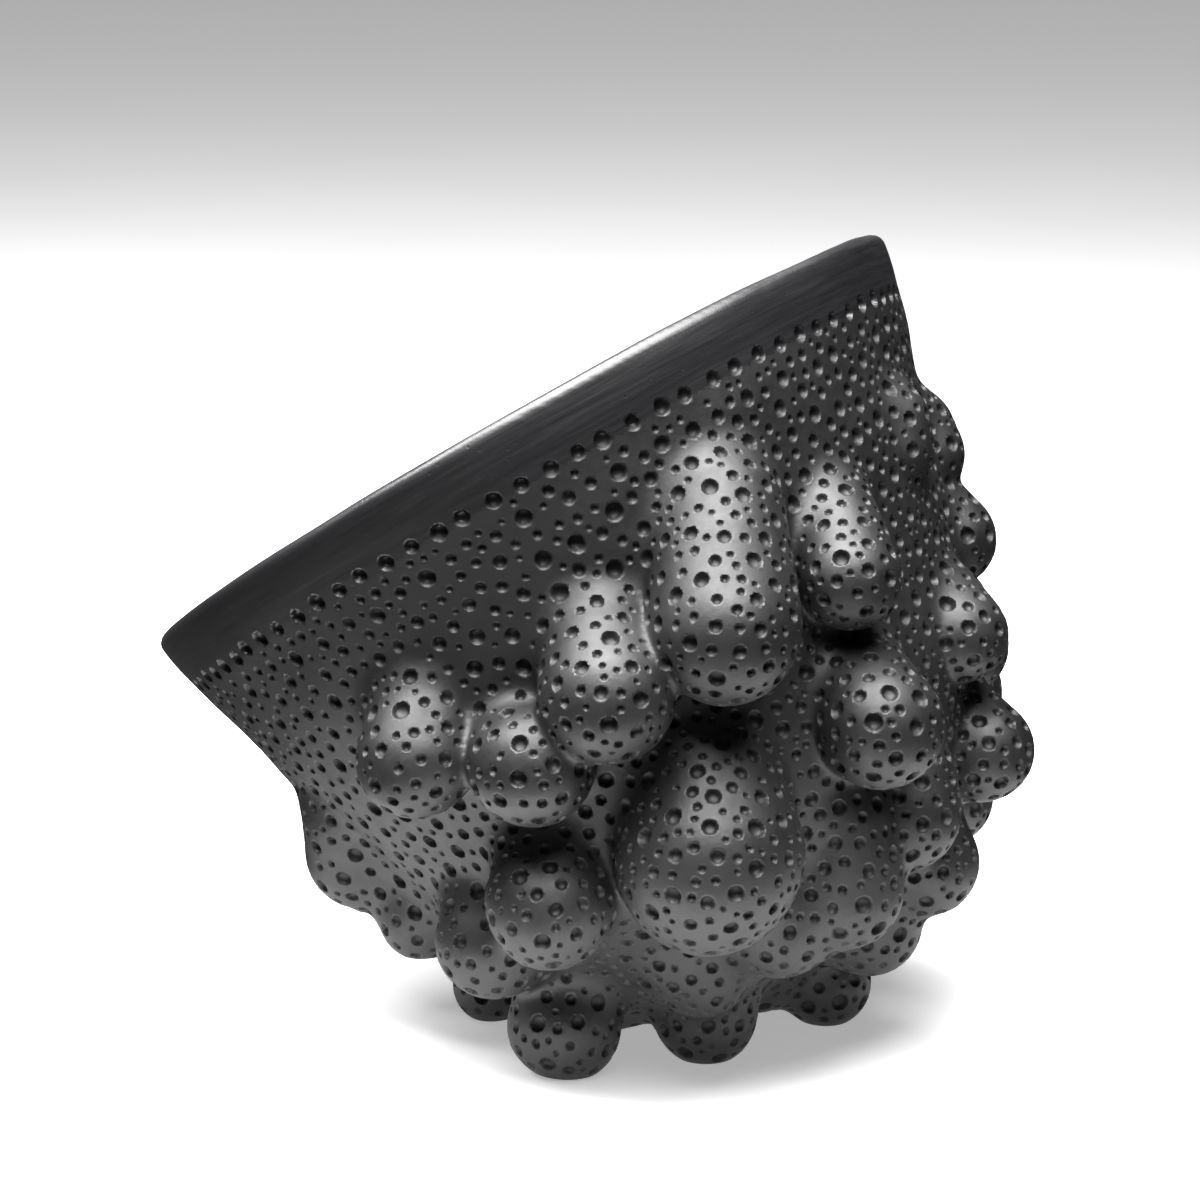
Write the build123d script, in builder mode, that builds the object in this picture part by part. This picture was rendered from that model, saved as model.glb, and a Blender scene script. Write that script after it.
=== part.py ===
from build123d import *
import os
from math import asin, cos, degrees, radians, sin, tan

# A black clay pot: a round bowl that leans on its side, with a smooth rim, and hollow clay bulbs luted all
# over its lower half. The lowest bulbs are its feet. Millimetres, +Z up, z = 0 is the surface it stands on.

os.makedirs("parts", exist_ok=True)

# The bowl, measured in its own frame. Depth runs from the mouth down the bowl's axis.
mouth_radius = 126.5        # where the wall's slope meets the plane of the mouth
lip_radius = 125.5          # the lip itself turns in a little
wall_slope = 15.6           # degrees between the wall and the bowl's axis
band_depth = 20.0           # the smooth rim band
shoulder_depth = 108.0      # the straight wall turns into the round bottom here
wall_thickness = 7.5
lip_round = 3.0             # radius of the lip's two edges
band_crown = 0.8            # how far the band swells out of its chord

# How the bowl lies.
lean = 31.8                 # degrees between the bowl's axis and upright
lean_heading = 158.5        # degrees from +X, the side that the mouth leans towards
mouth_centre = Vector(-23.09, 12.17, 179.1)
seam_azimuth = 172          # where the bowl's round surfaces close on themselves, clear of every bulb

# The bulbs.
head_sink = 0.35            # a bulb's head sits this share of its radius below the wall's surface
bulb_wall = 7.0
widest_hollow = 12.0        # radius of the largest hollow left in a bulb
narrowest_hollow = 3.0
stubby = 0.9                # a bulb whose axis leaves the wall nearly square on, by cosine
floor_block = 400.0         # a block under the surface, which cuts the worn flats on the feet

# Each bulb starts at a head on the bowl's wall and hangs down to a rounder belly. Azimuth is in degrees round
# the bowl's axis, and run is the distance in millimetres down the wall from the mouth. Swing and length lead
# from the head to the belly in the same two measures. Proud is how far the belly's centre stands off the wall.
#    azimuth, run, swing, length, head radius, belly radius, proud
upper_lobes = [
    (290, 55, -9, 26, 20, 21, 13),
    (310, 71, -7, 16, 13, 15, 9),
    (335, 55, 0, 8, 12, 15, -8),
    (355, 60, 0, 8, 12, 14, -5),
    (355, 87, 0, 8, 12, 15, -3),
    (22, 56, 6, 30, 16, 18, 4),
    (58, 52, -4, 42, 18, 20, 6),
    (92, 62, 3, 22, 15, 18, 5),
    (126, 60, -5, 36, 18, 20, 7),
    (158, 72, 5, 20, 15, 18, 4),
    (190, 78, -6, 11, 14, 17, 0),
    (235, 61, -3, 10, 14, 15.5, 9),
    (244, 82, 3, 8, 12, 17, 8),
    (265, 68, -3, 14, 15, 19, 10),
]
middle_lobes = [
    (304, 117, -5, 11, 15, 18, 10),
    (338, 112, -4, 9, 13, 15, 0),
    (12, 114, 4, 12, 14, 16, -1),
    (38, 116, -5, 18, 16, 19, 5),
    (76, 108, 3, 20, 16, 20, 5),
    (106, 110, -4, 22, 15, 18, 6),
    (136, 118, 4, 12, 14, 18, 4),
    (160, 112, 2, 6, 12, 14, 2),
    (184, 111, 3, 4, 12, 13, 1),
    (213, 125, -1, 6, 14, 17, 4),
    (235, 120, -2, 7, 15, 18, 8),
    (268, 125, -6, 14, 21, 26.5, 7),
]
lower_lobes = [
    (293, 160, -6, 20, 13, 15, 4),
    (316, 158, -4, 10, 14, 17, -3),
    (346, 150, -4, 7, 14, 16, 4),
    (334, 184, 0, 8, 13, 15, 3),
    (22, 162, 3, 10, 14, 16, 1),
    (58, 160, -4, 12, 15, 18, 5),
    (100, 150, 4, 8, 14, 16, 4),
    (266, 174, 0, 10, 13, 15, -1),
    (32, 198, 8, 8, 13, 15, 1),
    (335, 216, 0, 4, 13, 16, 0),
    (176, 204, 0, 3, 12, 13, -6),
    (140, 218, 0, 3, 12, 14, -3),
    (232, 184, 0, 5, 13, 14, -3),
    (182, 176, 0, 3, 12, 13, -5),
]
foot_lobes = [
    (202, 161, 0, 2, 14, 16, 12),
    (204, 202, 0, 2, 14, 15, 5),
    (87, 220, 0, 1, 14, 15, 11),
    (163, 141, 0, 1, 12, 12, 11),
    (130, 156, 0, 2, 13, 15, 6),
    (90, 190, 0, 2, 14, 15, 13),
]

# The round bottom is part of a ball that the straight wall touches without a kink.
wall_run = shoulder_depth / cos(radians(wall_slope))
shoulder_radius = mouth_radius - shoulder_depth * tan(radians(wall_slope))
ball_radius = shoulder_radius / cos(radians(wall_slope))
ball_depth = shoulder_depth - ball_radius * sin(radians(wall_slope))
level_thickness = wall_thickness / cos(radians(wall_slope))


def wall_radius(depth):
    """Outer radius of the straight wall at a depth below the mouth."""
    return mouth_radius - depth * tan(radians(wall_slope))


def bowl_frame():
    """The plane of the mouth: origin at its centre, z out of the bowl, x up the slope of the mouth."""
    level = sin(radians(lean))
    out_of_mouth = Vector(
        level * cos(radians(lean_heading)),
        level * sin(radians(lean_heading)),
        cos(radians(lean)),
    )
    right = Vector(1, 0, 0)
    return Plane(
        origin=mouth_centre,
        x_dir=right - out_of_mouth * right.dot(out_of_mouth),
        z_dir=out_of_mouth,
    )


def half_section(origin, across, along):
    """A plane to draw a turned shape's half outline on: its x leads across the axis and its y along it."""
    return Plane(origin=origin, x_dir=across, z_dir=across.cross(along))


bowl = bowl_frame()
bowl_axis = Axis(bowl.origin, bowl.z_dir)
towards_seam = bowl.x_dir * cos(radians(seam_azimuth)) + bowl.y_dir * sin(radians(seam_azimuth))
bowl_section = half_section(bowl.origin, towards_seam, bowl.z_dir)


def bottom_arc(radius):
    """Draws the round bottom's arc, from the axis out to where the straight wall starts."""
    return CenterArc((0, -ball_depth), radius, -90, 90 - wall_slope)


def make_filled_bowl():
    """The bowl as if it were solid clay, which the bulbs are trimmed against."""
    with BuildPart() as filled_bowl:
        with BuildSketch(bowl_section):
            with BuildLine():
                bottom = bottom_arc(ball_radius)
                Polyline(bottom @ 1, (mouth_radius, 0), (0, 0), bottom @ 0)
            make_face()
        revolve(axis=bowl_axis)
    return filled_bowl.part


def make_vessel_wall():
    """The bowl's wall, from under the rim band down to the round bottom."""
    outer = wall_radius(band_depth)
    with BuildPart() as vessel_wall:
        with BuildSketch(bowl_section):
            with BuildLine():
                outside = bottom_arc(ball_radius)
                inside = bottom_arc(ball_radius - wall_thickness)
                Line(outside @ 0, inside @ 0)
                Polyline(outside @ 1, (outer, -band_depth), (outer - level_thickness, -band_depth), inside @ 1)
            make_face()
        revolve(axis=bowl_axis)
    vessel_wall.part.label = "vessel_wall"
    export_step(vessel_wall.part, "parts/vessel_wall.step")


def make_rim_band():
    """The smooth burnished coil that finishes the mouth, with a slight crown and a rounded lip."""
    foot_outer = wall_radius(band_depth)
    foot_inner = foot_outer - level_thickness
    lip_inner = lip_radius - wall_thickness
    middle = ((foot_outer + lip_radius) / 2 + band_crown, -band_depth / 2)
    with BuildPart() as rim_band:
        with BuildSketch(bowl_section) as section:
            with BuildLine():
                ThreePointArc((foot_outer, -band_depth), middle, (lip_radius, 0))
                Polyline(
                    (lip_radius, 0),
                    (lip_inner, 0),
                    (foot_inner, -band_depth),
                    (foot_outer, -band_depth),
                )
            make_face()
            fillet(section.vertices().group_by(Axis.Y)[-1], radius=lip_round)
        revolve(axis=bowl_axis)
    rim_band.part.label = "rim_band"
    export_step(rim_band.part, "parts/rim_band.step")


def wall_point(azimuth, run, proud):
    """The point that lies a run down the wall and stands proud of its outer surface."""
    if run <= wall_run:
        tip = wall_slope
        radius = mouth_radius - run * sin(radians(tip))
        depth = run * cos(radians(tip))
    else:
        tip = wall_slope + degrees((run - wall_run) / ball_radius)
        radius = ball_radius * cos(radians(tip))
        depth = ball_depth + ball_radius * sin(radians(tip))
    radius += proud * cos(radians(tip))
    depth += proud * sin(radians(tip))
    around = radians(azimuth)
    return bowl.from_local_coords(Vector(radius * cos(around), radius * sin(around), -depth))


def bulb_ends(shape):
    """The centres of a bulb's head and of its belly."""
    azimuth, run, swing, length, head_radius, _, proud = shape
    head = wall_point(azimuth, run, -head_sink * head_radius)
    belly = wall_point(azimuth + swing, run + length, proud)
    return head, belly


def outward_across(shape, along):
    """The direction square to a bulb's axis that points most nearly away from the wall."""
    azimuth, run, swing, length = shape[:4]
    under_belly = wall_point(azimuth + swing, run + length, 0)
    outward = wall_point(azimuth + swing, run + length, 1) - under_belly
    if outward.dot(along) > stubby:
        outward = bowl.z_dir
    return (outward - along * outward.dot(along)).normalized()


def make_bulb_form(shape, head_radius, belly_radius):
    """A solid fig shape: two balls, one at the head and one at the belly, and the cone that touches both."""
    head, belly = bulb_ends(shape)
    reach = (belly - head).length
    taper = degrees(asin((head_radius - belly_radius) / reach))
    along = (belly - head).normalized()
    with BuildPart() as form:
        with BuildSketch(half_section(head, outward_across(shape, along), along)):
            with BuildLine():
                head_arc = CenterArc((0, 0), head_radius, -90, 90 + taper)
                belly_arc = CenterArc((0, reach), belly_radius, taper, 90 - taper)
                Line(head_arc @ 1, belly_arc @ 0)
                Line(belly_arc @ 1, head_arc @ 0)
            make_face()
        revolve(axis=Axis(head, along))
    return form.part


def hollow_radius(radius):
    """The radius of the hollow inside a ball of clay."""
    return min(max(radius - bulb_wall, narrowest_hollow), widest_hollow)


def make_hollow(shape):
    """The air space inside a bulb."""
    head_radius, belly_radius = shape[4], shape[5]
    return make_bulb_form(shape, hollow_radius(head_radius), hollow_radius(belly_radius))


def are_close(first, second):
    """Whether two bulbs are near enough to touch."""
    reach = first[3] + second[3] + first[5] + second[5] + first[4] + second[4]
    return (bulb_ends(first)[1] - bulb_ends(second)[1]).length < reach


def make_lobe(name, form, hollow, trims, on_the_floor):
    """One hollow bulb, trimmed to the bowl and to the bulbs that were put on before it."""
    with BuildPart() as trimmed:
        add(form)
        add(hollow, mode=Mode.SUBTRACT)
        for trim in trims:
            add(trim, mode=Mode.SUBTRACT)
        if on_the_floor:
            Box(
                floor_block,
                floor_block,
                floor_block,
                align=(Align.CENTER, Align.CENTER, Align.MAX),
                mode=Mode.SUBTRACT,
            )
    largest = trimmed.part.solids().sort_by(SortBy.VOLUME)[-1]
    with BuildPart() as lobe:
        add(largest)
    lobe.part.label = name
    export_step(lobe.part, f"parts/{name}.step")


def name_ring(ring, shapes):
    """Names the bulbs of one ring in order."""
    return {f"{ring}_lobe_{number}": shape for number, shape in enumerate(shapes, start=1)}


make_vessel_wall()
make_rim_band()

lobes = {
    **name_ring("upper", upper_lobes),
    **name_ring("middle", middle_lobes),
    **name_ring("lower", lower_lobes),
    **name_ring("foot", foot_lobes),
}
filled_bowl = make_filled_bowl()
placed = []
for name, shape in sorted(lobes.items(), key=lambda item: -item[1][5]):
    form = make_bulb_form(shape, shape[4], shape[5])
    neighbours = [other_form for other, other_form in placed if are_close(shape, other)]
    make_lobe(name, form, make_hollow(shape), [filled_bowl, *neighbours], name.startswith("foot"))
    placed.append((shape, form))
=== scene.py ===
"""Black clay pot: one skin of hand-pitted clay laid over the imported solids.

The skin is made in millimetres on a grid of distances, where the lobes' heads can melt into the wall.
It is then cut into closed pieces: one for each lobe, and one for each sector of the rim band and the wall.
"""

import math

import bmesh
import bpy
import numpy as np
import openvdb
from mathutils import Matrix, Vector


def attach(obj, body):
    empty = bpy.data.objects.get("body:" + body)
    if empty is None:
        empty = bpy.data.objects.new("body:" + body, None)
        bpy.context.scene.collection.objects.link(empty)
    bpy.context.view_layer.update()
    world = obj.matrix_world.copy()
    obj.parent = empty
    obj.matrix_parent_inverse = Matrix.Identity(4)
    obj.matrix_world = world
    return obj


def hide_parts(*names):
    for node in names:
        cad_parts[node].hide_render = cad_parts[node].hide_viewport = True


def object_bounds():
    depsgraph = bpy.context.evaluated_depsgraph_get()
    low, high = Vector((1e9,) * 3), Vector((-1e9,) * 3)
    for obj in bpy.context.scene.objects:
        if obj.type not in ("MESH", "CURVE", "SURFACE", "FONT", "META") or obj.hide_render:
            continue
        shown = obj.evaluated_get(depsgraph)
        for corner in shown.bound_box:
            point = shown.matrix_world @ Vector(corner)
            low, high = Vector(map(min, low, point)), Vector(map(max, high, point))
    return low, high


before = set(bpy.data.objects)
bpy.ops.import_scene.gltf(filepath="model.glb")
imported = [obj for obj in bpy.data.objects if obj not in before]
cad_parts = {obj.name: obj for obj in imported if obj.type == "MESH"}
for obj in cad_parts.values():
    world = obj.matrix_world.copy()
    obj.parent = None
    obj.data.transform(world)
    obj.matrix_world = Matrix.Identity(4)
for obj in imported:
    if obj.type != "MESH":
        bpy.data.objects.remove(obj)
cad_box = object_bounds()

METRE = 1000.0  # the skin is made in millimetres and the finished pieces are in metres
UP = (0, 0, 1.0)
WALL, RIM = "vessel_wall", "rim_band"
LOBES = sorted(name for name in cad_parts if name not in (WALL, RIM))
WALL_LABEL, RIM_LABEL, FIRST_LOBE = 0, 1, 2
RANDOM = np.random.default_rng(20)

# The grid, in millimetres: its step, and how far from a surface it holds true distances.
CELL = 1.1
EDGE_ROOM = 6
NEAR_REACH = 15
CLIP = 4.0
MID_WALL = 3.7  # how deep in the bowl's wall the outside gives way to the inside
LIP_DEPTH = 10.0  # how far from the lip the bowl's own shape is kept

# Faces that look along the bowl's axis, this near the height of the joint, lie between wall and band.
SQUARE_ON = 0.995
JOINT_REACH = 0.3

# How wide a fillet joins a lobe to the wall: crisp at its belly, melted at its head, wide near the floor.
CRISP_JOIN = 2.4
MELTED_JOIN = 7.0
LOW_JOIN = 11.0
HEAD_START, HEAD_FADE = 0.1, 0.9  # in half lengths of the lobe, from just below its middle
# And how wide a fillet joins it to its neighbours.
SIDE_JOIN = 3.4
LOW_SIDE_JOIN = 9.0
LOW_FROM, LOW_TO = 85.0, 45.0  # heights above the floor
# A lobe's say in the fillet's width fades over this distance; away from all of them the join is crisp.
SHARED_REACH = 2.0
FAINT = 0.001

# The hand's unevenness: the distance between swells and their height. It is less near the rim.
SWELLS = ((34.0, 1.5), (15.0, 0.8), (7.0, 0.2))
CALM_AT_RIM = 0.25
CALM_START, CALM_FADE = 4, 14
SMOOTHING_ROUNDS = 2

# Where pits may go: below the band, clear of the floor, and not in a crease.
PITS_BELOW_JOINT = 1.5
PITS_ABOVE_FLOOR = 3.0
CREASE_ROUNDS = 4
GENTLE = 0.985

# The neat row of pits under the band.
ROW_STEP = 9.0
ROW_ABOVE_JOINT = 1.0
ROW_REACH = 1.0
ROW_RADIUS = 2.35
ROW_RADIUS_SPREAD = 0.9, 1.1
ROW_UNEVEN_STEP = 0.09  # in steps
ROW_UNEVEN_HEIGHT = 0.45

# The other pits: smallest and largest radius, the gap to the next pit, and the number of tries.
PIT_SIZES = ((1.9, 2.6, 4.4, 14000), (1.35, 1.9, 2.2, 30000), (0.95, 1.35, 1.5, 60000))
SMALL_PITS_FAVOURED = 1.3
CROWDING = 0.22  # the gaps shrink towards +X
PIT_ROOM = 8.0  # a pit looks for others in its own cell of this width and in those beside it

# The point that punches them.
PIT_DEPTH = 0.75, 1.0  # in radii
PIT_TILT = 0.07
PIT_STRETCH = 0.12
BOTTOM_POWER = 0.9
LIP_REACH = 1.5
LIP_HEIGHT = 0.05
LIP_SPREAD = 0.2, 1.4
EDGE_LIFT = 0.8  # of the lip's height, for the vertices drawn onto a pit's edge
FACING_LEAST = 0.35
RISE_MOST = 1.2  # in radii

# The outside of the skin is twice as fine up to this height over the joint.
FINE_ABOVE_JOINT = 7.0
SEARCH_CELL = 4.0
KEY = 4096  # more than the search cells along any side

# The pieces' own thickness behind the skin, outside and inside the bowl, and how the bowl is cut.
SKIN = 3.3
INNER_SKIN = 2.2
SECTORS = 9
RIM_SECTORS = 3
LABEL_ROUNDS = 3

# The clay has a little more sheen than the shader's usual 1.5 gives.
CLAY_INDEX = 1.75

# The studio, in metres.
FLOOR_REACH = 8.0
FLOOR_GLOW = 0.42
SOFTBOX_PLACE = (-0.20, -0.20, 1.24)
SOFTBOX_WIDTH, SOFTBOX_HEIGHT, SOFTBOX_POWER = 1.9, 1.2, 116
FLAG_CENTRE = (0.03, -0.045, 0.004)
FLAG_INNER, FLAG_OUTER, FLAG_STEPS = 0.19, 9.0, 64
ROOM_COLOUR, ROOM_STRENGTH = (0.92, 0.96, 1.0, 1), 0.02
BACKDROP_COLOUR = (0.78, 0.78, 0.78, 1)
VIEW_GAMMA = 0.87

# The photograph's view: the target as shares of the CAD box's sides, and the camera's place from there.
TARGET_SHARES = (0.5063, 0.4553, 0.5489)
CAMERA_OFFSET = (-0.0027, -1.3728, 0.2749)
LENS, SENSOR_WIDTH = 140, 36


# ---------------------------------------------------------------- the frame's meshes

def mesh_of(node):
    """A CAD node's vertices in millimetres and its triangles."""
    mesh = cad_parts[node].data
    mesh.calc_loop_triangles()
    points = np.empty(len(mesh.vertices) * 3, np.float32)
    mesh.vertices.foreach_get("co", points)
    triangles = np.empty(len(mesh.loop_triangles) * 3, np.int32)
    mesh.loop_triangles.foreach_get("vertices", triangles)
    return points.reshape(-1, 3) * METRE, triangles.reshape(-1, 3)


def hull_of(points):
    """The convex hull of some points, as points and triangles."""
    form = bmesh.new()
    for place in np.unique(points.round(3), axis=0):
        form.verts.new(place)
    bmesh.ops.convex_hull(form, input=form.verts)
    bmesh.ops.delete(form, geom=[v for v in form.verts if not v.link_faces], context="VERTS")
    bmesh.ops.triangulate(form, faces=form.faces)
    form.verts.index_update()
    corners = np.array([v.co for v in form.verts], np.float32)
    triangles = np.array([[v.index for v in face.verts] for face in form.faces], np.int32)
    form.free()
    return corners, triangles


def facing(points, triangles):
    """The area-weighted normal and the centre of each triangle."""
    a, b, c = (points[triangles[:, i]].astype(float) for i in range(3))
    return np.cross(b - a, c - a) / 2, (a + b + c) / 3


def lathe_axis(points, triangles):
    """The centre and the axis of a turned form, from the spread of its surface."""
    normals, centres = facing(points, triangles)
    areas = np.linalg.norm(normals, axis=1)
    centre = (centres * areas[:, None]).sum(0) / areas.sum()
    off = centres - centre
    spread = (off * areas[:, None]).T @ off
    axis = np.linalg.eigh(spread)[1][:, 0]
    return centre, axis * np.sign(axis[2])


# ---------------------------------------------------------------- the grid of distances

low_corner = np.floor(np.array(cad_box[0]) * METRE) - EDGE_ROOM
high_corner = np.ceil(np.array(cad_box[1]) * METRE) + EDGE_ROOM
grid_shape = tuple(np.ceil((high_corner - low_corner) / CELL).astype(int))


def distances(points, triangles, reach):
    """A closed mesh's signed distances in a block of the grid, and the block's place."""
    local = ((points - low_corner) / CELL).astype(np.float32)
    reach = math.ceil(reach / CELL)
    level = openvdb.FloatGrid.createLevelSetFromPolygons(
        local, triangles=triangles.astype(np.uint32), halfWidth=reach
    )
    first = np.maximum(np.floor(local.min(0)).astype(int) - reach, 0)
    last = np.minimum(np.ceil(local.max(0)).astype(int) + reach, grid_shape)
    block = np.full(tuple(last - first), reach, np.float32)
    level.copyToArray(block, ijk=tuple(int(i) for i in first))
    return block * CELL, tuple(slice(int(a), int(b)) for a, b in zip(first, last))


def along(direction, origin, block=None):
    """How far each of the grid's points lies from an origin, along a direction."""
    spans = block or tuple(slice(0, n) for n in grid_shape)
    rows = [np.arange(s.start, s.stop, dtype=np.float32) * CELL for s in spans]
    rows = [(r + low - o) * d for r, low, o, d in zip(rows, low_corner, origin, direction)]
    return (rows[0][:, None, None] + rows[1][None, :, None] + rows[2][None, None, :]).astype(np.float32)


def smooth_step(share):
    """A soft start and end between 0 and 1."""
    share = np.clip(share, 0, 1)
    return share * share * (3 - 2 * share)


def melted(a, b, join):
    """The union of two distances, with a fillet as wide as the join."""
    overlap = np.maximum(join - np.abs(a - b), 0) / join
    return np.minimum(a, b) - overlap * overlap * join / 4


def swells(step, height):
    """Smooth random heights over the grid: cubic splines through random values a step apart."""
    counts = [int(n * CELL / step) + 5 for n in grid_shape]
    values = RANDOM.normal(0, height, counts).astype(np.float32)
    for axis, n in enumerate(grid_shape):
        at = np.arange(n) * CELL / step + 1
        base = at.astype(int)
        t = at - base
        taps = ((1 - t) ** 3, 3 * t**3 - 6 * t**2 + 4, -3 * t**3 + 3 * t**2 + 3 * t + 1, t**3)
        weights = np.zeros((n, counts[axis]), np.float32)
        for i, tap in enumerate(taps):
            weights[np.arange(n), base - 1 + i] += tap / 6
        values = np.moveaxis(np.tensordot(weights, values, (1, axis)), 0, axis)
    return values


def softened(values):
    """The grid after one light blur along each axis."""
    for axis in range(3):
        padded = np.concatenate((values.take([0], axis), values, values.take([-1], axis)), axis)
        n = values.shape[axis]
        pick = [slice(None)] * 3
        parts = []
        for start in range(3):
            pick[axis] = slice(start, start + n)
            parts.append(padded[tuple(pick)])
        values = (parts[0] + 2 * parts[1] + parts[2]) / 4
    return values


def bowl_meshes(axis):
    """The wall and the rim band as one closed mesh, and their joint's height along the axis."""
    found = {}
    for node, side in ((RIM, -1), (WALL, 1)):
        points, triangles = mesh_of(node)
        normals, centres = facing(points, triangles)
        areas = np.linalg.norm(normals, axis=1)
        square_on = (normals @ axis) * side > SQUARE_ON * areas
        found[node] = points, triangles, centres @ axis, areas, square_on
    heights, areas, square_on = found[RIM][2:]
    joint = np.average(heights[square_on], weights=areas[square_on])
    points, triangles, used = [], [], 0
    for node in (RIM, WALL):
        own, faces, heights, _, square_on = found[node]
        joined = square_on & (np.abs(heights - joint) < JOINT_REACH)
        points.append(own)
        triangles.append(faces[~joined] + used)
        used += len(own)
    return np.concatenate(points), np.concatenate(triangles), joint


def grid_of(block, place, far):
    """A grid that holds a block of distances, and one far distance everywhere else."""
    whole = np.full(grid_shape, far, np.float32)
    whole[place] = block
    return whole


def join_at(own, axis, place, low):
    """How wide a fillet one lobe asks for: crisp below its middle and melted towards its head."""
    middle = (own.min(0) + own.max(0)) / 2
    half_length = np.ptp(own @ axis) / 2
    headward = smooth_step((along(axis, middle, place) / half_length + HEAD_START) / HEAD_FADE)
    crisp = CRISP_JOIN + (LOW_JOIN - CRISP_JOIN) * low
    return crisp + np.maximum(MELTED_JOIN - crisp, 0) * headward


def lobe_grids(axis, filled, label):
    """The distances of all the lobes, run together, and their fillets' width. It labels the lobes' cells."""
    lobes, nearest = (np.full(grid_shape, NEAR_REACH, np.float32) for _ in range(2))
    join, weight = (np.full(grid_shape, start, np.float32) for start in (CRISP_JOIN * FAINT, FAINT))
    for i, node in enumerate(LOBES):
        own = mesh_of(node)[0]
        block, place = distances(*hull_of(own), NEAR_REACH)
        low = smooth_step((LOW_FROM - along(UP, (0, 0, 0), place)) / (LOW_FROM - LOW_TO))
        closer = block < nearest[place]
        say = np.exp(-np.maximum(block, -NEAR_REACH) / SHARED_REACH)
        weight[place] += say
        join[place] += say * join_at(own, axis, place, low)
        label[place] = np.where(closer & (block < filled[place]), i + FIRST_LOBE, label[place])
        nearest[place] = np.minimum(nearest[place], block)
        lobes[place] = melted(lobes[place], block, SIDE_JOIN + (LOW_SIDE_JOIN - SIDE_JOIN) * low)
    return lobes, join / weight


def make_grid():
    """The whole pot's distances, and for each cell the piece that it belongs to."""
    centre, axis = lathe_axis(*mesh_of(RIM))
    bowl_points, bowl_triangles, joint = bowl_meshes(axis)
    depth = -along(axis, axis * joint)
    bowl = grid_of(*distances(bowl_points, bowl_triangles, int(CLIP) + 2), CLIP)
    filled = grid_of(*distances(*hull_of(bowl_points), NEAR_REACH), NEAR_REACH)
    label = np.where(depth > 0, WALL_LABEL, RIM_LABEL).astype(np.int16)
    lobes, join = lobe_grids(axis, filled, label)
    lip = joint + np.ptp(mesh_of(RIM)[0] @ axis)
    near_lip = depth < joint - lip + LIP_DEPTH
    inside = (filled < -MID_WALL) | near_lip
    label[inside] = np.where(depth[inside] > 0, WALL_LABEL, RIM_LABEL)
    whole = np.where(inside, bowl, melted(filled, lobes, join))
    unevenness = CALM_AT_RIM + (1 - CALM_AT_RIM) * smooth_step((depth + CALM_START) / CALM_FADE)
    for step, height in SWELLS:
        whole += swells(step, height) * unevenness
    whole = softened(np.clip(whole, -CLIP, CLIP))
    below_floor = -along(UP, (0, 0, 0))
    return np.maximum(whole, below_floor), label, filled, axis, centre, joint


# ---------------------------------------------------------------- the skin

def corner_sums(quads, values, count):
    """The sum of the faces' values at each vertex."""
    at = quads.ravel()
    spread = np.repeat(values, 4, axis=0)
    return np.stack([np.bincount(at, spread[:, i], count) for i in range(3)], 1)


def neighbour_means(points, quads):
    """The mean place of each vertex's neighbours."""
    starts = quads.ravel()
    ends = np.roll(quads, -1, axis=1).ravel()
    valence = np.bincount(starts, minlength=len(points))
    sums = np.stack([np.bincount(starts, points[ends, i], len(points)) for i in range(3)], 1)
    return sums / np.maximum(valence, 1)[:, None]


def vertex_normals(points, quads):
    """Each vertex's normal, from the quads around it."""
    corners = points[quads]
    faces = np.cross(corners[:, 2] - corners[:, 0], corners[:, 3] - corners[:, 1])
    sums = corner_sums(quads, faces, len(points))
    return sums / np.maximum(np.linalg.norm(sums, axis=1), 1e-9)[:, None]


def refined(points, quads):
    """One Catmull-Clark step. Old vertices keep their numbers, and quad i becomes quads 4i to 4i + 3."""
    count = len(points)
    starts = quads.ravel().astype(np.int64)
    ends = np.roll(quads, -1, axis=1).ravel().astype(np.int64)
    keys = np.minimum(starts, ends) * count + np.maximum(starts, ends)
    edges, edge_of = np.unique(keys, return_inverse=True)
    a, b = edges // count, edges % count
    centres = points[quads].mean(1)
    spread = np.repeat(centres, 4, axis=0)
    faces_at = np.bincount(edge_of, minlength=len(edges))[:, None]
    beside = np.stack([np.bincount(edge_of, spread[:, i], len(edges)) for i in range(3)], 1) / faces_at
    edge_points = (points[a] + points[b]) / 4 + beside / 2
    valence = np.maximum(np.bincount(starts, minlength=count), 1)[:, None]
    around = corner_sums(quads, centres, count) / valence
    middles = (points + neighbour_means(points, quads)) / 2
    corners = (around + 2 * middles + (valence - 3) * points) / valence
    edge_at = edge_of.reshape(-1, 4) + count
    centre_at = (np.arange(len(quads)) + count + len(edges))[:, None].repeat(4, 1)
    fine = np.stack((quads, edge_at, centre_at, np.roll(edge_at, 1, axis=1)), 2)
    return np.concatenate((corners, edge_points, centres)), fine.reshape(-1, 4), edge_at


def even_out(points, quads, rounds):
    """Taubin smoothing, which takes out the grid's ripple and keeps the size."""
    for _ in range(rounds):
        for step in (0.5, -0.53):
            points = points + (neighbour_means(points, quads) - points) * step
    return points


def make_skin(whole):
    """The pot's surface as quads about a millimetre wide."""
    grid = openvdb.FloatGrid(CLIP)
    grid.copyFromArray(whole, tolerance=0.0)
    points, quads = grid.convertToQuads(0.0)
    points = points.astype(float) * CELL + low_corner
    quads = quads.astype(np.int64)
    corners = points[quads]
    inward = np.cross(corners[:, 0] - corners[:, 1], corners[:, 2] - corners[:, 1])
    if (inward * corners[:, 1]).sum() > 0:
        quads = quads[:, ::-1].copy()
    points = even_out(points, quads, SMOOTHING_ROUNDS)
    points[:, 2] = np.maximum(points[:, 2], 0)
    return points, quads


def lookup(values, points):
    """The grid's values at the cells nearest to some points."""
    at = np.rint((points - low_corner) / CELL).astype(int)
    at = np.clip(at, 0, np.array(values.shape) - 1)
    return values[at[:, 0], at[:, 1], at[:, 2]]


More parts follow.
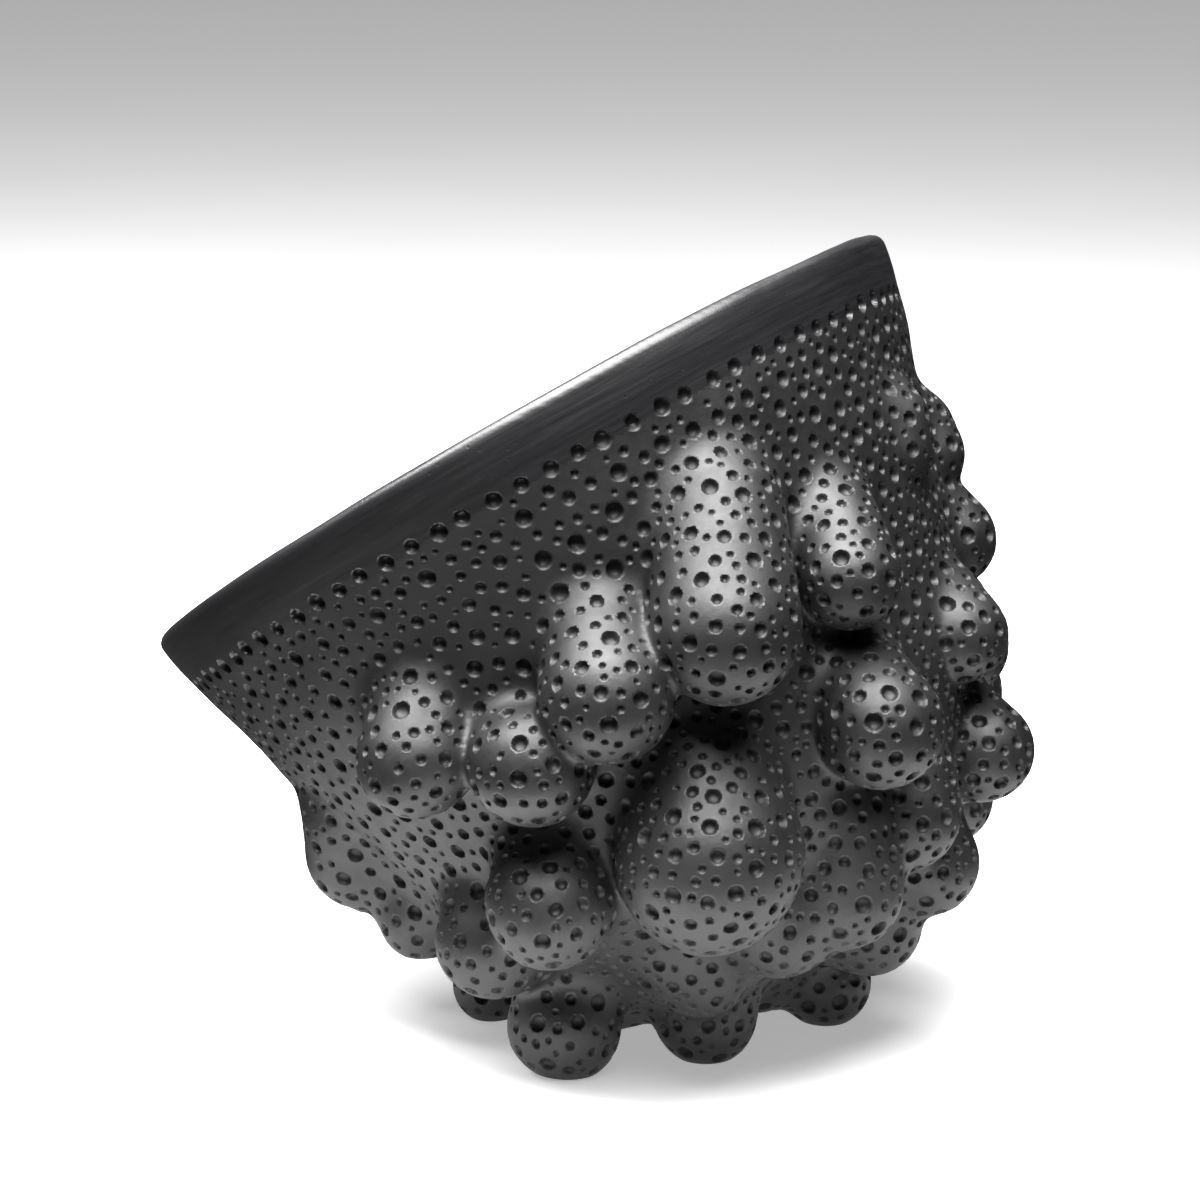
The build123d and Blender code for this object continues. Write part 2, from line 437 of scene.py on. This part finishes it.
# ---------------------------------------------------------------- the pits

def cell_keys(cells):
    """One number for each search cell, in step with its place."""
    return (cells[..., 0] * KEY + cells[..., 1]) * KEY + cells[..., 2]


class Cells:
    """Points sorted by the cell that they lie in, to find those near a place."""

    def __init__(self, points):
        self.base = points.min(0) - 3 * SEARCH_CELL
        keys = cell_keys(np.floor((points - self.base) / SEARCH_CELL).astype(np.int64))
        self.order = np.argsort(keys, kind="stable")
        self.keys = keys[self.order]

    def near(self, place, reach):
        """The points in the cells within reach of a place."""
        low = np.floor((place - reach - self.base) / SEARCH_CELL).astype(np.int64)
        high = np.floor((place + reach - self.base) / SEARCH_CELL).astype(np.int64)
        runs = []
        for x in range(low[0], high[0] + 1):
            for y in range(low[1], high[1] + 1):
                row = (x * KEY + y) * KEY
                start, stop = np.searchsorted(self.keys, (row + low[2], row + high[2] + 1))
                runs.append(self.order[start:stop])
        return np.concatenate(runs)


def turn_about(axis, off):
    """The angle of each point about the bowl's axis."""
    side = np.cross(axis, UP)
    side /= np.linalg.norm(side)
    front = np.cross(axis, side)
    return np.arctan2(off @ front, off @ side)


class Pits:
    """The pits chosen so far, each with its place, axis and radius."""

    def __init__(self):
        self.rows = []
        self.cells = {}

    def cell(self, place):
        return tuple(int(math.floor(v / PIT_ROOM)) for v in place)

    def is_free(self, place, radius, gap):
        x, y, z = self.cell(place)
        for i in (x - 1, x, x + 1):
            for j in (y - 1, y, y + 1):
                for k in (z - 1, z, z + 1):
                    for other, size in self.cells.get((i, j, k), ()):
                        if math.dist(place, other) < radius + size + gap:
                            return False
        return True

    def add(self, place, normal, radius):
        self.rows.append((place, normal, radius))
        self.cells.setdefault(self.cell(place), []).append((tuple(place), radius))


def lay_row(pits, points, normals, outer_side, around, angle, height):
    """The neat row of pits that ends the band, and the wall's radius there."""
    in_row = np.flatnonzero(outer_side & (np.abs(height - ROW_ABOVE_JOINT) < ROW_REACH))
    around = around[in_row].mean()
    count = round(2 * math.pi * around / ROW_STEP)
    for i in range(count):
        uneven = RANDOM.uniform(-ROW_UNEVEN_STEP, ROW_UNEVEN_STEP)
        wanted = (i + uneven) / count * 2 * math.pi - math.pi
        level = ROW_ABOVE_JOINT + RANDOM.uniform(-ROW_UNEVEN_HEIGHT, ROW_UNEVEN_HEIGHT)
        turn = np.abs((angle[in_row] - wanted + math.pi) % (2 * math.pi) - math.pi)
        best = in_row[np.argmin(turn * around + np.abs(height[in_row] - level))]
        pits.add(points[best], normals[best], ROW_RADIUS * RANDOM.uniform(*ROW_RADIUS_SPREAD))
    return around


def choose_pits(points, normals, outer_side, open_to_pits, axis, centre, joint):
    """The row, then large pits well apart, then smaller ones between them."""
    pits = Pits()
    off = points - centre
    height = points @ axis - joint
    from_axis = np.linalg.norm(off - np.outer(off @ axis, axis), axis=1)
    mouth_radius = lay_row(pits, points, normals, outer_side, from_axis, turn_about(axis, off), height)
    choice = np.flatnonzero(open_to_pits)
    crowding = 1 + CROWDING * -off[:, 0] / mouth_radius
    for smallest, largest, gap, tries in PIT_SIZES:
        for at in RANDOM.choice(choice, tries):
            radius = smallest + (largest - smallest) * RANDOM.random() ** SMALL_PITS_FAVOURED
            if pits.is_free(points[at], radius, gap * crowding[at]):
                pits.add(points[at], normals[at], radius)
    return pits.rows


def unit(vector):
    return vector / np.linalg.norm(vector)


def punch(points, normals, pits, spacing):
    """The skin with its pits, and how deep in a pit each vertex lies, from 0 to 1."""
    cells = Cells(points)
    moves = np.zeros_like(points)
    hollow = np.zeros(len(points))
    for place, normal, radius in pits:
        shaft = unit(normal + RANDOM.normal(0, PIT_TILT, 3))
        across = unit(np.cross(shaft, RANDOM.normal(0, 1, 3)))
        stretch = RANDOM.uniform(0.0, PIT_STRETCH)
        depth = radius * RANDOM.uniform(*PIT_DEPTH)
        lip = LIP_HEIGHT * RANDOM.uniform(*LIP_SPREAD)
        near = cells.near(place, radius * LIP_REACH)
        off = points[near] - place
        rise = off @ shaft
        flat = off - rise[:, None] * shaft
        long_way = flat @ across
        far = np.sqrt(np.maximum((flat**2).sum(1) - stretch * long_way**2, 1e-9))
        share = far / radius
        faces_point = normals[near] @ shaft > FACING_LEAST
        use = (share < LIP_REACH) & faces_point & (np.abs(rise) < radius * RISE_MOST)
        near, flat, far, share = near[use], flat[use], far[use], share[use]
        inside = share < 1
        bottom = -depth * np.sqrt(np.maximum(1 - share**2, 0)) ** BOTTOM_POWER
        ring = np.clip((LIP_REACH - share) / (LIP_REACH - 1), 0, 1)
        height = np.where(inside, bottom, lip * ring * ring)
        moves[near] += height[:, None] * shaft
        snap = np.abs(far - radius) < spacing * 0.5
        to_edge = flat[snap] * ((radius - far[snap]) / far[snap])[:, None]
        moves[near[snap]] = to_edge + lip * EDGE_LIFT * shaft
        hollow[near] = np.maximum(hollow[near], np.where(inside, 1 - share**4, 0))
    return points + moves, hollow


# ---------------------------------------------------------------- the pieces

def tidy_labels(labels, quads, count):
    """Moves a quad to the piece that its corners mostly touch, so that the joints run smoothly."""
    for _ in range(LABEL_ROUNDS):
        names = int(labels.max()) + 1
        votes = np.zeros((count, names), np.uint8)
        for i in range(4):
            np.add.at(votes, (quads[:, i], labels), 1)
        total = votes[quads].sum(1, dtype=np.int16)
        best = total.argmax(1)
        keep = total[np.arange(len(quads)), labels] >= total[np.arange(len(quads)), best]
        labels = np.where(keep, labels, best)
    return labels


def build_mesh(name, points, normals, loops, sizes, materials, kinds, hollow):
    """A mesh of mixed polygons with smooth shading from the whole skin's normals."""
    mesh = bpy.data.meshes.new(name)
    mesh.vertices.add(len(points))
    mesh.vertices.foreach_set("co", (points / METRE).astype(np.float32).ravel())
    mesh.loops.add(len(loops))
    mesh.loops.foreach_set("vertex_index", loops.astype(np.int32))
    mesh.polygons.add(len(sizes))
    starts = np.concatenate(([0], np.cumsum(sizes)[:-1]))
    mesh.polygons.foreach_set("loop_start", starts.astype(np.int32))
    for material in materials:
        mesh.materials.append(material)
    mesh.polygons.foreach_set("material_index", kinds.astype(np.int32))
    mesh.update(calc_edges=True)
    mesh.polygons.foreach_set("use_smooth", np.ones(len(sizes), bool))
    pitted = mesh.attributes.new("hollow", "FLOAT", "POINT")
    pitted.data.foreach_set("value", hollow.astype(np.float32))
    mesh.normals_split_custom_set_from_vertices(normals)
    return mesh


def mixed_loops(corners, used):
    """The loops and sizes of polygons that leave out the corners they don't use."""
    return corners[used], used.sum(1)


def closed_patch(chosen, skin):
    """The polygons of one piece: the front, fine where it is pitted, the plain back, and the skirt between.

    An edge that a fine neighbour splits keeps its middle vertex in the plain quads and the skirt too, so the
    front has no gaps.
    """
    coarse, middle = skin["quads"][chosen], skin["edge_at"][chosen]
    is_fine = skin["fine_zone"][chosen]
    fine = skin["fine"].reshape(-1, 4, 4)[chosen[is_fine]].reshape(-1, 4)
    both = np.stack((coarse, middle), 2).reshape(-1, 8)[~is_fine]
    used = np.stack((np.ones_like(middle, bool), skin["split"][middle]), 2).reshape(-1, 8)[~is_fine]
    plain, plain_sizes = mixed_loops(both, used)
    starts, ends = coarse.ravel(), np.roll(coarse, -1, axis=1).ravel()
    forward, backward = (starts * len(skin["points"]) + ends, ends * len(skin["points"]) + starts)
    is_open = ~np.isin(backward, forward)
    a, b, m = starts[is_open], ends[is_open], middle.ravel()[is_open]
    fronts = np.unique(np.concatenate((fine.ravel(), plain)))
    backs = np.unique(coarse)

    def front_at(vertices):
        return np.searchsorted(fronts, vertices)

    def back_at(vertices):
        return np.searchsorted(backs, vertices) + len(fronts)

    skirt = np.stack((front_at(b), front_at(m), front_at(a), back_at(a), back_at(b)), 1)
    used = np.ones_like(skirt, bool)
    used[:, 1] = skin["split"][m]
    skirt_loops, skirt_sizes = mixed_loops(skirt, used)
    loops = (front_at(fine.ravel()), front_at(plain), back_at(coarse[:, ::-1].ravel()), skirt_loops)
    sizes = (np.full(len(fine), 4), plain_sizes, np.full(len(coarse), 4), skirt_sizes)
    order = (np.repeat(chosen[is_fine], 4), chosen[~is_fine], chosen, np.full(len(skirt), -1))
    return fronts, backs, np.concatenate(loops), np.concatenate(sizes), np.concatenate(order)


def make_piece(name, chosen, skin, materials, kinds):
    """One closed piece of the skin, with the pot's own smooth normals."""
    outer, inner, loops, sizes, faces = closed_patch(chosen, skin)
    thickness = np.where(skin["outside"][inner], SKIN, INNER_SKIN)[:, None]
    behind = skin["plain"][inner] - skin["plain_normals"][inner] * thickness
    points = np.concatenate((skin["points"][outer], behind))
    normals = np.concatenate((skin["normals"][outer], -skin["plain_normals"][inner]))
    hollow = np.concatenate((skin["hollow"][outer], np.zeros(len(inner))))
    kind = np.where(faces >= 0, kinds[faces], 0)
    mesh = build_mesh(name, points, normals, loops, sizes, materials, kind, hollow)
    piece = bpy.data.objects.new(name, mesh)
    bpy.context.scene.collection.objects.link(piece)
    return piece


# ---------------------------------------------------------------- materials

class Nodes:
    """Short calls for making a material's nodes."""

    def __init__(self, name):
        self.material = bpy.data.materials.new(name)
        self.material.use_nodes = True
        self.tree = self.material.node_tree
        self.shader = self.tree.nodes["Principled BSDF"]
        self.object = self.tree.nodes.new("ShaderNodeTexCoord").outputs["Object"]

    def put(self, value, socket):
        if isinstance(value, bpy.types.NodeSocket):
            self.tree.links.new(value, socket)
        else:
            socket.default_value = value

    def noise(self, vector, scale, detail=3.0, roughness=0.55):
        node = self.tree.nodes.new("ShaderNodeTexNoise")
        self.put(vector, node.inputs["Vector"])
        node.inputs["Scale"].default_value = scale
        node.inputs["Detail"].default_value = detail
        node.inputs["Roughness"].default_value = roughness
        return node.outputs["Fac"]

    def cells(self, vector, scale):
        node = self.tree.nodes.new("ShaderNodeTexVoronoi")
        self.put(vector, node.inputs["Vector"])
        node.inputs["Scale"].default_value = scale
        return node.outputs["Distance"]

    def maths(self, operation, a, b=0.0):
        node = self.tree.nodes.new("ShaderNodeMath")
        node.operation = operation
        self.put(a, node.inputs[0])
        self.put(b, node.inputs[1])
        return node.outputs[0]

    def remap(self, value, low, high, new_low, new_high):
        node = self.tree.nodes.new("ShaderNodeMapRange")
        self.put(value, node.inputs["Value"])
        limits = {"From Min": low, "From Max": high, "To Min": new_low, "To Max": new_high}
        for key, number in limits.items():
            node.inputs[key].default_value = number
        return node.outputs["Result"]

    def mix(self, share, a, b):
        node = self.tree.nodes.new("ShaderNodeMix")
        node.data_type = "RGBA"
        self.put(share, node.inputs["Factor"])
        self.put((*a, 1) if isinstance(a, tuple) else a, node.inputs["A"])
        self.put((*b, 1) if isinstance(b, tuple) else b, node.inputs["B"])
        return node.outputs["Result"]

    def vectors(self, operation, a, b=(0, 0, 0)):
        node = self.tree.nodes.new("ShaderNodeVectorMath")
        node.operation = operation
        self.put(a, node.inputs[0])
        self.put(b, node.inputs[1])
        return node.outputs["Value" if operation == "DOT_PRODUCT" else "Vector"]

    def scaled(self, vector, factor):
        node = self.tree.nodes.new("ShaderNodeVectorMath")
        node.operation = "SCALE"
        self.put(vector, node.inputs[0])
        self.put(factor, node.inputs["Scale"])
        return node.outputs["Vector"]

    def bump(self, height, distance, strength=1.0, normal=None):
        node = self.tree.nodes.new("ShaderNodeBump")
        node.inputs["Distance"].default_value = distance
        node.inputs["Strength"].default_value = strength
        self.put(height, node.inputs["Height"])
        if normal is not None:
            self.put(normal, node.inputs["Normal"])
        return node.outputs["Normal"]

    def attribute(self, name):
        node = self.tree.nodes.new("ShaderNodeAttribute")
        node.attribute_name = name
        return node.outputs["Fac"]

    def finish(self, colour, roughness, normal, index=1.5):
        self.put(colour, self.shader.inputs["Base Color"])
        self.put(roughness, self.shader.inputs["Roughness"])
        self.put(normal, self.shader.inputs["Normal"])
        self.shader.inputs["IOR"].default_value = index
        return self.material


def pitted_clay():
    """Smoke-blackened clay, rubbed but not polished, with painted shade darkening the pits."""
    n = Nodes("pitted_black_clay")
    broad = n.noise(n.object, 22, 3)
    fine = n.noise(n.object, 240, 4, 0.6)
    grain = n.noise(n.object, 1400, 3, 0.6)
    hollow = n.attribute("hollow")
    colour = n.mix(n.remap(broad, 0.3, 0.7, 0, 1), (0.008, 0.008, 0.009), (0.014, 0.014, 0.015))
    colour = n.mix(n.remap(fine, 0.35, 0.75, 0, 0.5), colour, (0.020, 0.020, 0.021))
    # Painted shade: the colour darkens inside the pits, most at their middles, patchily with the fine noise.
    painted_pit_shade = n.maths("MULTIPLY", hollow, n.remap(fine, 0.3, 0.7, 0.05, 0.5))
    colour = n.mix(painted_pit_shade, colour, (0.006, 0.006, 0.006))
    rough = n.remap(broad, 0.3, 0.7, 0.53, 0.61)
    rough = n.maths("ADD", rough, n.remap(fine, 0.3, 0.7, -0.04, 0.05))
    rough = n.maths("ADD", rough, n.maths("MULTIPLY", hollow, 0.05))
    normal = n.bump(grain, 0.00006, 0.6)
    normal = n.bump(fine, 0.00022, 0.5, normal)
    return n.finish(colour, rough, normal, CLAY_INDEX)


def burnished_clay(axis, centre):
    """Clay rubbed round and round with a stone: fine marks along the band and a few pores."""
    n = Nodes("burnished_black_clay")
    off = n.vectors("SUBTRACT", n.object, tuple(centre / METRE))
    height = n.vectors("DOT_PRODUCT", off, tuple(axis))
    outward = n.vectors("NORMALIZE", n.vectors("SUBTRACT", off, n.scaled(tuple(axis), height)))

    def streaks(length, width, detail):
        """Noise drawn out round the bowl: few waves round the mouth, and many to the metre across them."""
        drawn = n.scaled(tuple(axis), n.maths("MULTIPLY", height, width))
        return n.noise(n.vectors("ADD", n.scaled(outward, length), drawn), 1.0, detail)

    broad = n.noise(n.object, 16, 3)
    marks = streaks(5.0, 900.0, 3.0)
    wide = streaks(3.0, 260.0, 2.0)
    grain = n.noise(n.object, 1500, 3, 0.6)
    pores = n.remap(n.cells(n.object, 210), 0.05, 0.12, 0.0, 1.0)
    colour = n.mix(n.remap(broad, 0.3, 0.7, 0, 1), (0.011, 0.011, 0.012), (0.016, 0.016, 0.018))
    colour = n.mix(n.remap(marks, 0.35, 0.7, 0.0, 0.55), colour, (0.023, 0.023, 0.025))
    rough = n.remap(wide, 0.3, 0.7, 0.40, 0.48)
    rough = n.maths("ADD", rough, n.remap(marks, 0.3, 0.7, -0.035, 0.05))
    normal = n.bump(pores, 0.00008, 0.7)
    normal = n.bump(marks, 0.00010, 0.5, normal)
    normal = n.bump(wide, 0.00030, 0.5, normal)
    normal = n.bump(grain, 0.00004, 0.5, normal)
    return n.finish(colour, rough, normal, CLAY_INDEX)


def pale_floor():
    n = Nodes("pale_floor")
    cloud = n.noise(n.object, 3, 2)
    colour = n.mix(cloud, (0.80, 0.80, 0.80), (0.84, 0.84, 0.84))
    rough = n.remap(cloud, 0.3, 0.7, 0.62, 0.7)
    n.shader.inputs["Emission Color"].default_value = (1, 1, 1, 1)
    n.shader.inputs["Emission Strength"].default_value = FLOOR_GLOW
    return n.finish(colour, rough, n.bump(n.noise(n.object, 300, 2), 0.0001, 0.2))


def flag_cloth():
    n = Nodes("flag_cloth")
    weave = n.noise(n.object, 900, 2)
    colour = n.mix(weave, (0.008, 0.008, 0.008), (0.016, 0.016, 0.016))
    return n.finish(colour, n.remap(weave, 0.3, 0.7, 0.9, 1.0), n.bump(weave, 0.0003))


# ---------------------------------------------------------------- the pot

def lay_skin():
    """The finished skin and what the pieces need of it."""
    whole, label, filled, axis, centre, joint = make_grid()
    points, quads = make_skin(whole)
    labels = lookup(label, points[quads].mean(1)).astype(int)
    outside = lookup(filled, points) > -MID_WALL
    plain_normals = vertex_normals(points, quads)
    fine_points, fine, edge_at = refined(points, quads)
    fine_normals = vertex_normals(fine_points, fine)
    calm = fine_normals
    for _ in range(CREASE_ROUNDS):
        calm = neighbour_means(calm, fine)
    gentle = np.linalg.norm(calm, axis=1) > GENTLE
    below_band = fine_points @ axis < joint - PITS_BELOW_JOINT
    outer_side = lookup(filled, fine_points) > -MID_WALL
    off_floor = fine_points[:, 2] > PITS_ABOVE_FLOOR
    ready = gentle & below_band & outer_side & off_floor
    pits = choose_pits(fine_points, fine_normals, outer_side, ready, axis, centre, joint)
    pitted, hollow = punch(fine_points, fine_normals, pits, CELL / 2)
    fine_zone = (outside & (points @ axis < joint + FINE_ABOVE_JOINT))[quads].all(1)
    split = np.zeros(len(fine_points), bool)
    split[edge_at[fine_zone]] = True
    pitted[:, 2] = np.maximum(pitted[:, 2], 0)
    labels = tidy_labels(labels, quads, len(points))
    return {
        "axis": axis,
        "centre": centre,
        "plain": points,
        "plain_normals": plain_normals,
        "quads": quads,
        "labels": labels,
        "outside": outside,
        "points": pitted,
        "normals": vertex_normals(pitted, fine),
        "hollow": hollow,
        "fine": fine,
        "fine_zone": fine_zone,
        "edge_at": edge_at,
        "split": split,
    }


def sector_of(points, axis, centre):
    """The sector of the bowl that each point is in."""
    turn = turn_about(axis, points - centre)
    return ((turn + math.pi) / (2 * math.pi) * SECTORS).astype(int) % SECTORS


def settle(piece, node):
    """Puts a piece in its CAD node's place."""
    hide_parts(node)
    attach(piece, "root")


def make_pot():
    """All the pieces: the lobes, the rim band's sectors and the wall's, which are burnished inside."""
    skin = lay_skin()
    clay = pitted_clay()
    burnished = burnished_clay(skin["axis"], skin["centre"])
    labels = skin["labels"]
    outside = skin["outside"][skin["quads"]].all(1)
    one_kind = np.zeros(len(labels), int)
    two_kinds = np.where(outside, 0, 1)
    for i, node in enumerate(LOBES):
        chosen = np.flatnonzero(labels == i + FIRST_LOBE)
        piece = make_piece(f"{node}_skin", chosen, skin, [clay], one_kind)
        settle(piece, node)
    sector = sector_of(skin["plain"][skin["quads"]].mean(1), skin["axis"], skin["centre"])
    for i in range(RIM_SECTORS):
        chosen = np.flatnonzero((labels == RIM_LABEL) & (sector * RIM_SECTORS // SECTORS == i))
        piece = make_piece(f"rim_band_skin_{i + 1}", chosen, skin, [burnished], one_kind)
        settle(piece, RIM)
    for i in range(SECTORS):
        chosen = np.flatnonzero((labels == WALL_LABEL) & (sector == i))
        piece = make_piece(f"vessel_wall_skin_{i + 1}", chosen, skin, [clay, burnished], two_kinds)
        settle(piece, WALL)


# ---------------------------------------------------------------- floor, light and camera

def make_floor():
    mesh = bpy.data.meshes.new("floor")
    turns = ((-1, -1), (1, -1), (1, 1), (-1, 1))
    corners = [(x * FLOOR_REACH, y * FLOOR_REACH, 0) for x, y in turns]
    mesh.from_pydata(corners, [], [(0, 1, 2, 3)])
    mesh.materials.append(pale_floor())
    floor = bpy.data.objects.new("floor", mesh)
    bpy.context.scene.collection.objects.link(floor)


def aim(thing, place, target):
    thing.location = place
    thing.rotation_mode = "QUATERNION"
    thing.rotation_quaternion = (Vector(target) - Vector(place)).to_track_quat("-Z", "Y")


def add_light(name, place, target, width, height, power):
    lamp = bpy.data.lights.new(name, "AREA")
    lamp.shape = "RECTANGLE"
    lamp.size = width
    lamp.size_y = height
    lamp.energy = power
    light = bpy.data.objects.new(name, lamp)
    bpy.context.scene.collection.objects.link(light)
    aim(light, place, target)


def make_flag():
    """Black cloth on the floor round the pot, which keeps the pale floor out of the clay's sheen.

    The camera and the shadows don't see it.
    """
    x, y, height = FLAG_CENTRE
    rings = []
    for reach in (FLAG_INNER, FLAG_OUTER):
        for i in range(FLAG_STEPS):
            turn = i * math.tau / FLAG_STEPS
            rings.append((x + reach * math.cos(turn), y + reach * math.sin(turn), height))
    steps = [(i, (i + 1) % FLAG_STEPS) for i in range(FLAG_STEPS)]
    faces = [(i, j, j + FLAG_STEPS, i + FLAG_STEPS) for i, j in steps]
    mesh = bpy.data.meshes.new("flag")
    mesh.from_pydata(rings, [], faces)
    mesh.materials.append(flag_cloth())
    flag = bpy.data.objects.new("flag", mesh)
    bpy.context.scene.collection.objects.link(flag)
    flag.visible_camera = False
    flag.visible_shadow = False


def make_world():
    """Almost no light from the room, and a pale backdrop that only the camera sees."""
    world = bpy.data.worlds.new("studio")
    world.use_nodes = True
    tree = world.node_tree
    room = tree.nodes["Background"]
    room.inputs["Color"].default_value = ROOM_COLOUR
    room.inputs["Strength"].default_value = ROOM_STRENGTH
    backdrop = tree.nodes.new("ShaderNodeBackground")
    backdrop.inputs["Color"].default_value = BACKDROP_COLOUR
    path = tree.nodes.new("ShaderNodeLightPath")
    mix = tree.nodes.new("ShaderNodeMixShader")
    tree.links.new(path.outputs["Is Camera Ray"], mix.inputs[0])
    tree.links.new(room.outputs[0], mix.inputs[1])
    tree.links.new(backdrop.outputs[0], mix.inputs[2])
    tree.links.new(mix.outputs[0], tree.nodes["World Output"].inputs[0])
    bpy.context.scene.world = world


def make_lights(middle):
    add_light("overhead_softbox", SOFTBOX_PLACE, middle, SOFTBOX_WIDTH, SOFTBOX_HEIGHT, SOFTBOX_POWER)
    make_flag()
    make_world()
    bpy.context.scene.view_settings.view_transform = "Standard"
    bpy.context.scene.view_settings.gamma = VIEW_GAMMA


def make_camera(low, high):
    """The photograph's view, from a little above the bowl's middle, with a long lens."""
    target = Vector(a + (b - a) * s for a, b, s in zip(low, high, Vector(TARGET_SHARES)))
    data = bpy.data.cameras.new("camera")
    data.lens = LENS
    data.sensor_width = SENSOR_WIDTH
    camera = bpy.data.objects.new("camera", data)
    bpy.context.scene.collection.objects.link(camera)
    aim(camera, target + Vector(CAMERA_OFFSET), target)
    bpy.context.scene.camera = camera


make_pot()
make_floor()
make_lights((cad_box[0] + cad_box[1]) / 2)
make_camera(*cad_box)
